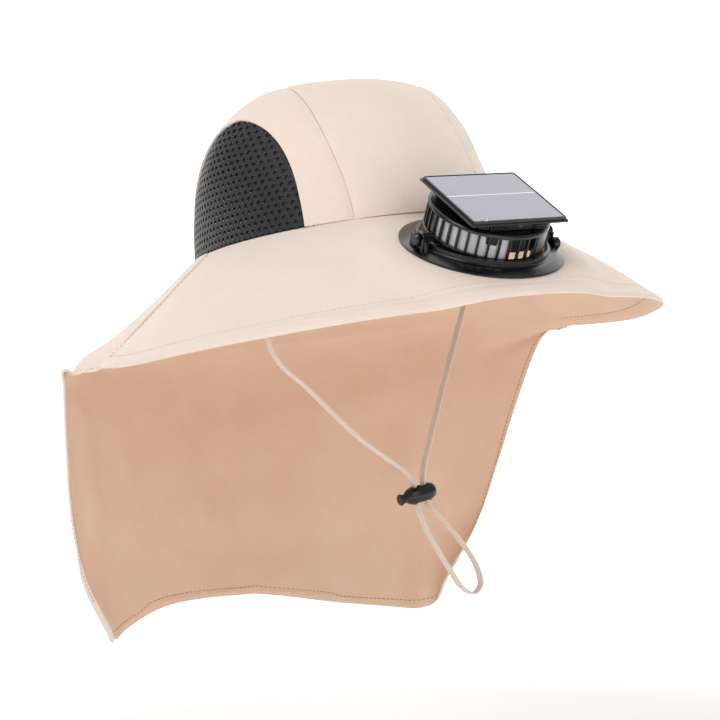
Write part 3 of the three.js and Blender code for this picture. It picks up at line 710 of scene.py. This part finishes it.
# Brim: a slope from the crown's seam to an edge whose reach and drop follow a table
brim = {
    "reach": 85.0, "drop": 60.8, "lift": 5.0, "liftPower": 1.4, "halfAngle": 94.3, "wall": 1.6, "foot": 0.3,
    "hemWidth": 8.6, "hemStep": 1.2, "edgeRound": 1.3,
    "hemOut": (0.45, 0.4, 1.0), "hemWall": (0.9, 0.7, 1.8),  # hem, groove and edge: how far out, how thick
    "seatRadius": 43.3, "seatMargin": 1.5, "seatBlend": 27.0, "seatTuck": 3.6,
    "hole": 35.6, "rows": 100, "columns": 240, "wave": 0.7,
}
brimSections = {
    "at": [0, 0.33, 0.64, 0.8, 1],
    "reach": [1, 0.984, 0.99, 0.98, 0.828],
    "drop": [1, 1.003, 1.028, 1.035, 0.968],
    "lift": [1, 0.95, 0.55, 0.25, 0],
}


def brimTop(u, v):
    # u round the front from left to right, v from the seam to the edge; flat where the fan sits
    angle = (2 * u - 1) * math.radians(brim["halfAngle"])
    reach, drop, lift = throughTable(brimSections, np.abs(2 * u - 1))
    sin, cos = np.sin(angle), np.cos(angle)
    halfWidth, halfLength = crown["width"] / 2, crown["length"] / 2
    base = np.hypot(halfWidth * sin, halfLength * cos) + brim["reach"] * reach
    edge = np.stack([-base * sin, -base * cos, -brim["drop"] * drop], -1)
    inWidth, inLength = halfWidth - crown["wall"], halfLength - crown["wall"]
    seamLine = np.stack([-inWidth * sin, -inLength * cos, -brim["foot"] + 0 * sin], -1)
    p = seamLine + (edge - seamLine) * v[..., None]
    p[..., 2] += brim["lift"] * lift * np.sin(np.pi * v ** brim["liftPower"])
    local = hatToFan(p)
    away = planRadius(local) - brim["seatRadius"] - brim["seatMargin"]
    fromSeam = v * np.linalg.norm(edge - seamLine, axis=-1)
    hold = (1 - smoothStep(away / brim["seatBlend"])) * smoothStep(fromSeam / brim["seatTuck"])
    local[..., 2] += (-brim["foot"] - local[..., 2]) * hold
    return fanToHat(local)


def makeBrim():
    u, v = unitGrid(brim["rows"], brim["columns"], 1.15)
    whole = brimTop(u, v)
    # Points inside the fan's hole move out to its edge, and faces wholly inside it are left out
    local = hatToFan(whole)
    radius = planRadius(local)
    keep = (radius > brim["hole"]).ravel()
    local[..., :2] *= np.maximum(brim["hole"] / np.maximum(radius, 1e-6), 1)[..., None]
    grid = fanToHat(local)
    faces = gridFaces(*grid.shape[:2])
    faces = faces[keep[faces].any(1)]
    across = runLength(whole, 0)
    toEdge = across[-1:] - across
    clear = smoothStep((planRadius(local) - 44.0) / 8.0)
    offset, wall = hemmed(toEdge, brim)
    offset = offset + brim["wave"] * softWaves(u * 3.2, v * 1.3, 11) * smoothStep(v * 1.5) * clear
    normal = surfaceNormals(whole, [0, 0, 1])
    lengths = (runLength(grid, 1), across)
    # The brim's inner layer takes the darker copy of the cloth: painted shade under the brim
    _, outer, inner = makeCloth("brim", grid, normal, offset, wall, lengths, ["brim"], 50, shadedCloth, faces)
    # Stitches along the hem, above and below, and up the two back seams
    row = int(np.argmin(np.abs(toEdge[:, 0] - brim["hemWidth"] + stitch["fromHem"])))
    makeThreads("brimTopStitching", [(outer[row, 2:-2], normal[row, 2:-2])], paleThread)
    # The rows below the hem and up the back seams take the darker thread: painted shade
    rows = [(inner[row, 2:-2], -normal[row, 2:-2])] + [(outer[4:-6, k], normal[4:-6, k]) for k in (3, -4)]
    makeThreads("brimStitching", rows, shadedThread)
    print("brim made")


makeBrim()

# Neck flap: each row is an arc from free edge to free edge whose ends, back and drop follow a table
flap = {
    "halfWidth": 167.5, "depth": 182.0, "fall": 202.0, "skew": 11.0, "skewPower": 3, "wall": 1.2,
    "standOff": 0.45, "foot": 0.3, "cornerShare": (0.13, 0.24), "cornerRise": (0.06, 0.075),
    "sags": [(0.19, 0.095, 9.5), (0.85, 0.1, 3.2)],  # along the hem, half width, depth in mm
    "hemWidth": 5.6, "hemStep": 1.0, "edgeRound": 1.1, "hemOut": (0.4, 0.3, 0.8), "hemWall": (0.8, 0.5, 1.4),
    "rows": 150, "columns": 230, "folds": 3.4, "crease": 0.8, "rumple": 1.8, "sewnTo": 0.24,
}
flapSections = {
    "at": [0, 0.1, 0.18, 0.25, 0.33, 0.41, 0.5, 0.62, 0.75, 0.88, 1],
    "side": [0.512, 0.678, 0.811, 0.9316, 0.972, 0.994, 0.97, 0.9355, 0.8955, 0.824, 0.672],
    "set": [0.038, 0.048, 0.055, 0.0615, 0.135, 0.219, 0.3, 0.426, 0.549, 0.654, 0.765],
    "low": [0, 0.114, 0.205, 0.2905, 0.283, 0.281, 0.333, 0.495, 0.683, 0.881, 1.09],
    "back": [0.555, 0.703, 0.824, 0.923, 0.978, 1, 1, 0.9945, 0.989, 0.987, 0.9725],
    "drop": [0, 0.104, 0.168, 0.198, 0.248, 0.327, 0.436, 0.584, 0.733, 0.871, 1],
    "wrap": [86, 86, 86, 86, 76, 63, 60, 62, 67, 92, 104],
    "sweep": [2, 2, 2, 2, 2, 2, 1.7, 1.3, 1, 0.75, 0.5],
}


def flapOut(u, v):
    # u from the right free edge to the left one, v from the crown down to the hem
    side, setBack, low, back, drop, wrap, sweep = throughTable(flapSections, v)
    wrap = np.radians(wrap)
    angle = (2 * u - 1) * wrap
    toEdge = (1 - np.cos(angle)) / (1 - np.cos(wrap))
    skew = flap["skew"] * np.sin(np.pi * (2 * u - 1)) * v ** flap["skewPower"]
    y = back + (setBack - back) * toEdge
    z = -drop + (drop - low) * np.maximum(toEdge, 0) ** sweep
    return np.stack([
        side * flap["halfWidth"] * np.sin(angle) / np.sin(wrap),
        y * flap["depth"] + flap["standOff"] * (1 - smoothStep(v / 0.33)),
        z * flap["fall"] - skew - flap["foot"]], -1)


def makeFlap():
    u, v = unitGrid(flap["rows"], flap["columns"])
    share, most = (np.where(u > 0.5, flap[key][1], flap[key][0]) for key in ("cornerShare", "cornerRise"))
    near = np.maximum((np.abs(2 * u - 1) - 1) / share + 1, 0)
    rise = most * (1 - np.sqrt(np.maximum(1 - near**2, 0)))
    grid = flapOut(u, v * (1 - rise * v * v))
    for at, wide, deep in flap["sags"]:
        grid[..., 2] -= deep * hump(u, wide, at) * v**7
    down = runLength(grid, 0)
    around = runLength(grid, 1)
    toHem = down[-1:] - down
    toSide = np.minimum(around, around[:, -1:] - around)
    # Upright folds that grow to the hem, a few slanting creases, a rumple by the brim's corner
    tau = 2 * np.pi
    pleats = 0.6 * np.sin(tau * (u * 4.3 + 0.25 * v)) + 0.4 * np.sin(tau * (u * 7.1 - 0.4 * v + 0.2))
    folds = flap["folds"] * smoothStep((v - 0.28) / 0.5) * pleats
    slants = np.sin(tau * (u * 3.0 + v * 3.1)) * np.sin(tau * (u * 1.3 - v * 1.7))
    crease = flap["crease"] * smoothStep((v - 0.3) / 0.2) * slants
    rumple = flap["rumple"] * hump(toSide, 34.0) * hump(v, 0.08, 0.36) * np.sin(down / 4.6)
    # Above the brim's corner the sides are sewn, and only the hem counts as an edge
    offset, wall = hemmed(np.minimum(toHem, np.where(v > flap["sewnTo"], toSide, 50.0)), flap)
    offset = offset + (folds + crease) * (1 - hump(toSide, 42.0)) + rumple
    offset = offset + seamDent(down - 3.0, around, 6) * 0.4 * smoothStep(down / 2.5)
    normal = surfaceNormals(grid, [0, 1, 0])
    # The flap's inner layer takes the darker copy of the cloth: painted shade inside the flap
    piece, outer, inner = makeCloth("neckFlap", grid, normal, offset, wall, (around, down), ["neck_flap"], 50,
                                    shadedCloth)
    # Thread outside and inside, down one free edge, along the hem and up the other
    inset = flap["hemWidth"] - stitch["fromHem"]
    picks = []
    for fromEdge in (around, None, around[:, -1:] - around):
        if fromEdge is None:
            i = np.arange(12, flap["columns"] - 12)
            j = np.argmin(np.abs(toHem[:, i] - inset), axis=0)
        else:
            j = np.arange(int(0.26 * flap["rows"]), flap["rows"] - 8)
            i = np.argmin(np.abs(fromEdge[j] - inset), axis=1)
        picks.append((j, i))
    layers = ((outer, 1), (inner, -1))
    rows = [(smoothLine(layer[pick]), side * normal[pick]) for layer, side in layers for pick in picks]
    # The flap's rows take the darker thread: painted shade
    threads = makeThreads("flapStitching", rows, shadedThread)


def smoothLine(line):
    # A line picked from grid points, evened out along its length
    for _ in range(6):
        line = np.vstack([line[:1], (line[:-2] + 2 * line[1:-1] + line[2:]) / 4, line[-1:]])
    return line


makeFlap()

# Fan flange. Profiles are radii and heights in its own frame, where it stands on height 0
flange = {
    "profile": [
        [33.3, -5], [35.2, -5], [35.2, -0.1], [42.8, -0.1], [43.2, 0.15], [43.3, 0.5], [43.15, 0.85],
        [42.7, 1.05], [39, 2.55], [38, 2.8], [36.2, 2.8], [35.6, 3], [35.2, 3.5], [35.2, 5.3], [34.85, 5.6],
        [33.65, 5.6], [33.3, 5.3]],
    "backing": [[35.5, -2.5], [35.5, -4.7], [37.5, -4.7], [38.3, -4.3], [38.5, -3.7], [38.5, -2.5]],
    "notch": 3.3, "notchFloor": 3.5, "notchReach": 35.5,
    "ear": [[-8, 1], [8, 1], [4.9, 8.2], [3.9, 9.7], [2.5, 10.2], [-2.5, 10.2], [-3.9, 9.7], [-4.9, 8.2]],
    "earIn": 36.2, "earOut": 39.2, "earRibs": (-5.4, 5.4), "ribSunk": 0.2, "ribOut": 1.3,
}


def makeFlange():
    f = flange
    points, faces = lathe(f["profile"], 180)
    # The collar's top is notched under the two pivots
    inNotch = (np.abs(points[:, 1]) < f["notch"]) & (planRadius(points) < f["notchReach"])
    points[:, 2] = np.where(inNotch, np.minimum(points[:, 2], f["notchFloor"]), points[:, 2])
    shapes = [(points, faces)]
    outside = f["earOut"]
    for side in (-1, 1):
        shapes.append(plateAlongX(moreCorners(f["ear"]), side * f["earIn"], side * outside))
        for y in f["earRibs"]:
            rib = rectangle(y - 0.7, y + 0.7, 1.2, 8.6)
            shapes.append(plateAlongX(rib, side * (outside - f["ribSunk"]), side * (outside + f["ribOut"])))
    # The left ear's outer face also carries a round catch at its front foot
    shapes.append(barAlongX(3.2, 37.6, 42.4, 3.4, -8.2, bevel=0.8))
    makeHard("fanFlange", shapes, blackAbs, ["fan_flange"], "hat", fanToWorld)
    makeHard("fanBackingRing", [lathe(f["backing"])], satinAbs, ["fan_backing_ring"], "hat", fanToWorld)
    print("flange made")


makeFlange()

# Cage: bottom rail, top rail with the roof, upright ribs between the slots, and a pivot on each side
cage = {
    "radius": 32.0, "wall": 1.8, "slots": 36, "rib": 1.3, "slotBottom": 9, "slotTop": 20.3, "post": (22, 40),
    "rail": [[30.2, 4.6], [31, 4.6], [31.5, 5.3], [31.95, 6.6], [32, 7.2], [32, 8.8], [31.75, 9], [30.2, 9]],
    "roof": [
        [0, 22.6], [30.4, 22.6], [31.2, 22.4], [31.8, 21.8], [32, 21.2], [32, 20.5], [31.75, 20.3],
        [30.2, 20.3], [30.2, 21], [0, 21]],
    "pin": 2.0, "boss": 3.0, "knob": 3.7, "knobWall": 2.6, "play": 0.3,
}
# The light guide behind the slots dips over one stretch; dark walls there and beside it stand in for the
# shade inside the cage: painted shade
guide = {
    "radius": 29.9, "wall": 0.9, "from": -96, "to": -7, "bottom": 7.6, "top": 20.6, "dip": (-34, -21),
    "dipTop": 15.6, "darkRadius": 28.9, "darkWall": 0.6, "dark": [(-36, -19, 15.0), (-5, 24, 12.0)],
}
motor = [[0, 12], [7.2, 12], [8, 12.8], [8, 20.7], [0, 20.7]]
shaft = [[0, 8.8], [1.2, 8.8], [1.5, 9.1], [1.5, 13], [0, 13]]


def arcWall(radius, thick, angle, bottom, top):
    z = bottom + np.linspace(0, 1, 6)[:, None] * (top - bottom)[None]
    ring = np.stack([np.sin(angle) + 0 * z, -np.cos(angle) + 0 * z, z], -1)
    return closeShell(*[ring * [r, r, 1] for r in (radius, radius - thick)])


def makeCage():
    c = cage
    inner, outer, bottom, top = c["radius"] - c["wall"], c["radius"], c["slotBottom"], c["slotTop"]
    rib, faces = prism(roundedOutline(c["rib"], c["wall"], 0.4, 4), bottom - 0.6, top + 0.6)
    rib = rib + [0, -(outer - c["wall"] / 2) + 0.05, 0]
    postAngle = np.radians(np.linspace(*c["post"], 16))
    post = arcWall(outer + 0.05, c["wall"], postAngle, bottom - 0.4, top + 0.4 + 0 * postAngle)
    ribs = [(rib @ turn("Z", k * 360 / c["slots"]).T, faces) for k in range(c["slots"])]
    shapes = [lathe(c["rail"]), lathe(c["roof"], closed=False), post, *ribs]
    height = places["pivotHeight"]
    earOut = flange["earOut"] + c["play"]
    for side in (-1, 1):
        shapes += [
            barAlongX(c["pin"], side * inner, side * (earOut + 1.0), height),
            barAlongX(c["boss"], side * inner, side * (flange["earIn"] - c["play"]), height),
            barAlongX(c["knob"], side * earOut, side * (earOut + c["knobWall"]), height, bevel=0.7)]
    makeHard("fanCage", shapes, blackAbs, ["fan_cage"])

    g = guide
    angle = np.radians(np.linspace(g["from"], g["to"], 90))
    dip = (angle > math.radians(g["dip"][0])) & (angle < math.radians(g["dip"][1]))
    wall = arcWall(g["radius"], g["wall"], angle, g["bottom"], np.where(dip, g["dipTop"], g["top"]))
    makeHard("airGuide", [wall], greyStyrene, ["air_guide"], slot="grey_plastic")
    # Dark walls inside the cage, standing in for its shade: painted shade
    walls = []
    for start, end, low in g["dark"]:
        angle = np.radians(np.linspace(start, end, 18))
        walls.append(arcWall(g["darkRadius"], g["darkWall"], angle, low, g["top"] + 0 * angle))
    makeHard("cageShadeWall", walls, satinAbs)
    makeHard("fanMotor", [lathe(motor, 64, False), lathe(shaft, 32, False)], satinAbs, ["fan_motor"])


makeCage()

# Rotor: a cup-shaped hub and twisted, cambered blades
rotor = {
    "hub": [
        [1.8, 9.4], [9.6, 9.4], [10.3, 9.7], [10.6, 10.4], [10.6, 18.4], [9.2, 18.4], [9.2, 10.8],
        [1.8, 10.8]],
    "blades": 7, "root": 10.0, "tip": 27.8, "thick": 0.9, "middle": 13.9,
    "chord": 10.0, "rootChord": 0.78, "rootPitch": 46, "twist": 18, "sweep": 0.10, "camber": 0.9,
}


def makeRotor():
    r = rotor
    rho = np.linspace(r["root"], r["tip"], 14)[:, None]
    w = np.linspace(-1, 1, 11)[None, :]
    share = (rho - r["root"]) / (r["tip"] - r["root"])
    pitch = np.radians(r["rootPitch"] - r["twist"] * share)
    along = w * r["chord"] * (r["rootChord"] + (1 - r["rootChord"]) * share) / 2
    theta = along * np.cos(pitch) / rho + r["sweep"] * share
    z = r["middle"] - along * np.sin(pitch) + r["camber"] * (1 - w**2)
    middle = np.stack([rho * np.sin(theta), -rho * np.cos(theta), z], -1)
    thick = np.sqrt(np.clip(1 - np.abs(w) ** 3, 0.05, 1)) * r["thick"]
    half = surfaceNormals(middle) * thick[..., None] / 2
    blade, faces = closeShell(middle + half, middle - half)
    blades = [(blade @ turn("Z", k * 360 / r["blades"]).T, faces) for k in range(r["blades"])]
    makeHard("fanRotor", [lathe(r["hub"], 72), *blades], satinAbs, ["fan_rotor"], "fan_rotor")
    print("cage and rotor made")


makeRotor()

# Solar panel: a tray with a lip at its foot, the cell in its well, a charge light by the front rail
solar = {
    "width": 56.7, "depth": 52.2, "thick": 2.6, "lip": 1.1, "lipThick": 1.2, "rail": 1.1, "recess": 1.3,
    "centreY": -1.5, "top": 29.85, "play": 0.2,
}
# Housing under it: a rounded block cut back to a circle at its front corners
housing = {
    "width": 44.0, "front": -25.7, "back": 20.0, "belly": 29.8, "bottom": 22.9, "top": 26.95,
    "ribs": 9, "ribStart": -18.6, "ribStep": 1.6, "ribHalf": 0.4, "barHalf": 0.35, "screwAt": (2.0, 25.0),
}
socketBars = [(15.0, 25.2, 7.4, 0.5), (15.0, 23.6, 7.4, 0.5), (11.4, 24.4, 0.5, 2.0), (18.6, 24.4, 0.5, 2.0)]
screw = [[0, 0.5], [0.9, 0.45], [1.3, 0.2], [1.4, -0.6], [0, -0.6]]
lamp = [[0.9, 0.25], [1.25, 0.45], [1.6, 0.25], [1.6, -0.3], [0.9, -0.3]]


def makeHousing():
    h = housing
    outline = moreCorners(roundedOutline(h["width"], h["back"] - h["front"], 2.0), 3)
    outline = outline + [0, (h["back"] + h["front"]) / 2]
    outline = outline * np.minimum(h["belly"] / planRadius(outline), 1)[:, None]
    low, high = h["bottom"], h["top"]
    shapes = [prism(outline, (low, -0.3), low + 0.3, high - 0.3, (high, -0.3))]

    def front(x):
        return max(-math.sqrt(max(h["belly"] ** 2 - x * x, 0)), h["front"])

    # Fine upright ribs round the front left corner, then the outlined socket near the right one
    for k in range(h["ribs"]):
        x, half = h["ribStart"] + h["ribStep"] * k, h["ribHalf"]
        rib = rectangle(x - half, x + half, front(x) - half, front(x) + half, 2)
        shapes.append(prism(rib, low + 0.5, high - 0.5))
    for x, z, wide, tall in socketBars:
        bar = rectangle(x - wide / 2, x + wide / 2, front(x) - h["barHalf"], front(x) + h["barHalf"], 2)
        shapes.append(prism(bar, z - tall / 2, z + tall / 2))
    makeHard("solarHousing", shapes, satinAbs, ["solar_housing"])
    points, faces = lathe(screw, 32, False)
    points = points @ turn("X", 90).T + [h["screwAt"][0], h["front"], h["screwAt"][1]]
    makeHard("housingScrew", [(points, faces)], steelScrew)


def makePanel():
    s = solar
    top, foot, lip, rail, play = s["top"], s["top"] - s["thick"], s["lip"], s["rail"], s["play"]
    step = foot + s["lipThick"]
    base = roundedOutline(s["width"], s["depth"], 1.5) + [0, s["centreY"]]
    tray = prism(
        base, (foot, lip - 0.3), (foot + 0.3, lip), (step - 0.2, lip), (step, lip - 0.3), (step, 0.1),
        top - 0.4, (top - 0.08, -0.15), (top, -0.45), (top, 0.3 - rail), (top - 0.15, -rail),
        (top - s["recess"], -rail))
    makeHard("solarFrame", [tray], blackAbs, ["solar_frame"])
    well = 2 * (rail + play)
    cut = roundedOutline(s["width"] - well, s["depth"] - well, 0.8) + [0, s["centreY"]]
    cell = prism(cut, top - 1.1, top - 0.35, (top - 0.2, -0.15))
    makeHard("solarCell", [cell], siliconCell, ["solar_cell"], slot="cell_glass",
             uv=cell[0][:, :2] - [0, s["centreY"]])
    points, faces = lathe(lamp, 40)
    points = points + [-20.8, s["centreY"] - s["depth"] / 2 + 2.0, top]
    makeHard("chargeLight", [(points, faces)], greyStyrene, slot="grey_plastic")
    print("solar panel made")


makeHousing()
makePanel()

# Cord lock: a bean-shaped body with a channel through it for the two runs of tape, and its button
lock = {"length": 10.5, "depth": 5.25, "height": 5.5, "channel": (9.6, 6.7, 1.2), "reach": 9.0}


def makeLock():
    a = np.linspace(0, 2 * np.pi, 97)[:-1]
    b = np.linspace(-np.pi / 2, np.pi / 2, 49)[1:-1, None]
    ring = power(np.cos(b), 0.85)
    bean = np.stack([
        power(np.sin(b), 0.85) * lock["length"] + 0 * a, ring * power(np.cos(a), 0.9) * lock["depth"],
        ring * power(np.sin(a), 0.9) * lock["height"]], -1)
    body = makeHard("cordLockBody", [ringStack(bean)], blackAbs, ["cord_lock_body"], "hat", lockToWorld)
    channel = prism(roundedOutline(*lock["channel"]), -lock["reach"], lock["reach"])
    cutter = makeHard("lockChannel", [channel], blackAbs, (), "hat", lockToWorld)
    cut = body.modifiers.new("channel", "BOOLEAN")
    cut.object = cutter
    cut.solver = "EXACT"
    graph = bpy.context.evaluated_depsgraph_get()
    done = bpy.data.meshes.new_from_object(body.evaluated_get(graph))
    body.modifiers.clear()
    body.data = done
    done.set_sharp_from_angle(angle=math.radians(35))
    bpy.data.objects.remove(cutter)
    bars = [barAlongX(3.2, -13.9, -12.4, 0, bevel=0.4), barAlongX(2.5, -12.6, -7.5, 0, bevel=0.1)]
    button = makeHard("cordLockButton", bars, satinAbs, ["cord_lock_button"], "cord_lock_button", lockToWorld)
    print("cord lock made")
    return [body, button]


makeStrap(makeLock())

# Studio: a pale floor that curves up behind, soft light from above and both sides
studio = {
    "floor": -0.42, "front": -4.0, "back": 2.2, "bend": 1.2, "top": 6.0, "half": 6.0, "turn": -29.7,
    "glowFrom": 0.7, "glowTo": 1.35, "glow": 0.8,
}


def makeStage():
    # Floor from well in front of the camera to the bend, a quarter circle, then an upright wall
    a = np.linspace(0, np.pi / 2, 24)
    bend = studio["bend"]
    y = np.concatenate([[studio["front"]], studio["back"] + bend * np.sin(a), [studio["back"] + bend]])
    z = np.concatenate([[0], bend * (1 - np.cos(a)), [studio["top"]]]) + studio["floor"]
    x = np.array([-studio["half"], studio["half"]])
    grid = np.stack([x[None] + 0 * y[:, None], y[:, None] + 0 * x, z[:, None] + 0 * x], -1)
    grid = grid @ turn("Z", studio["turn"]).T
    mesh = bpy.data.meshes.new("floor")
    mesh.from_pydata(grid.reshape(-1, 3), [], gridFaces(len(y), 2), shade_flat=False)
    paper = newMaterial("matt white paper", {
        "Base Color": linear("#fbfaf9"), "Roughness": 0.95, "Emission Color": (1, 1, 1, 1)})
    # The paper glows away from the hat, so that the backdrop comes out white
    away = addNode(paper, "VectorMath", {"operation": "LENGTH", 0: coords(paper, "Object")}).outputs["Value"]
    glow = mapped(paper, away, 0.0, studio["glow"], studio["glowFrom"], studio["glowTo"])
    mesh.materials.append(shade(paper, {"Emission Strength": glow}))
    floor = bpy.data.objects.new("floor", mesh)
    scene.collection.objects.link(floor)


def addLight(name, place, aim, size, energy, color=(1, 1, 1)):
    light = bpy.data.lights.new(name, "AREA")
    light.shape = "DISK"
    light.size = size
    light.energy = energy
    light.color = color
    turned = (Vector(aim) - Vector(place)).to_track_quat("-Z", "Y")
    putInScene(bpy.data.objects.new(name, light), place, turned)


makeStage()
# Name, place, aim, size in metres, watts and colour
addLight("key", (-1.3, -0.6, 1.5), (0, 0, -0.05), 1.2, 16)
addLight("front", (-0.1, -1.8, 0.75), (0, 0, -0.15), 1.0, 3.6)
addLight("fill", (0.0, -1.7, -0.2), (0, 0, -0.2), 1.3, 2.4, (1.0, 0.97, 0.94))
addLight("top", (0.2, 0.6, 1.8), (0, 0, 0), 1.6, 6)
world = bpy.data.worlds.new("studio")
scene.world = world
world.use_nodes = True
setNode(world, world.node_tree.nodes["Background"], {"Color": (1, 1, 1, 1), "Strength": 0.46})
scene.view_settings.view_transform = "Standard"
print("stage and lights made")
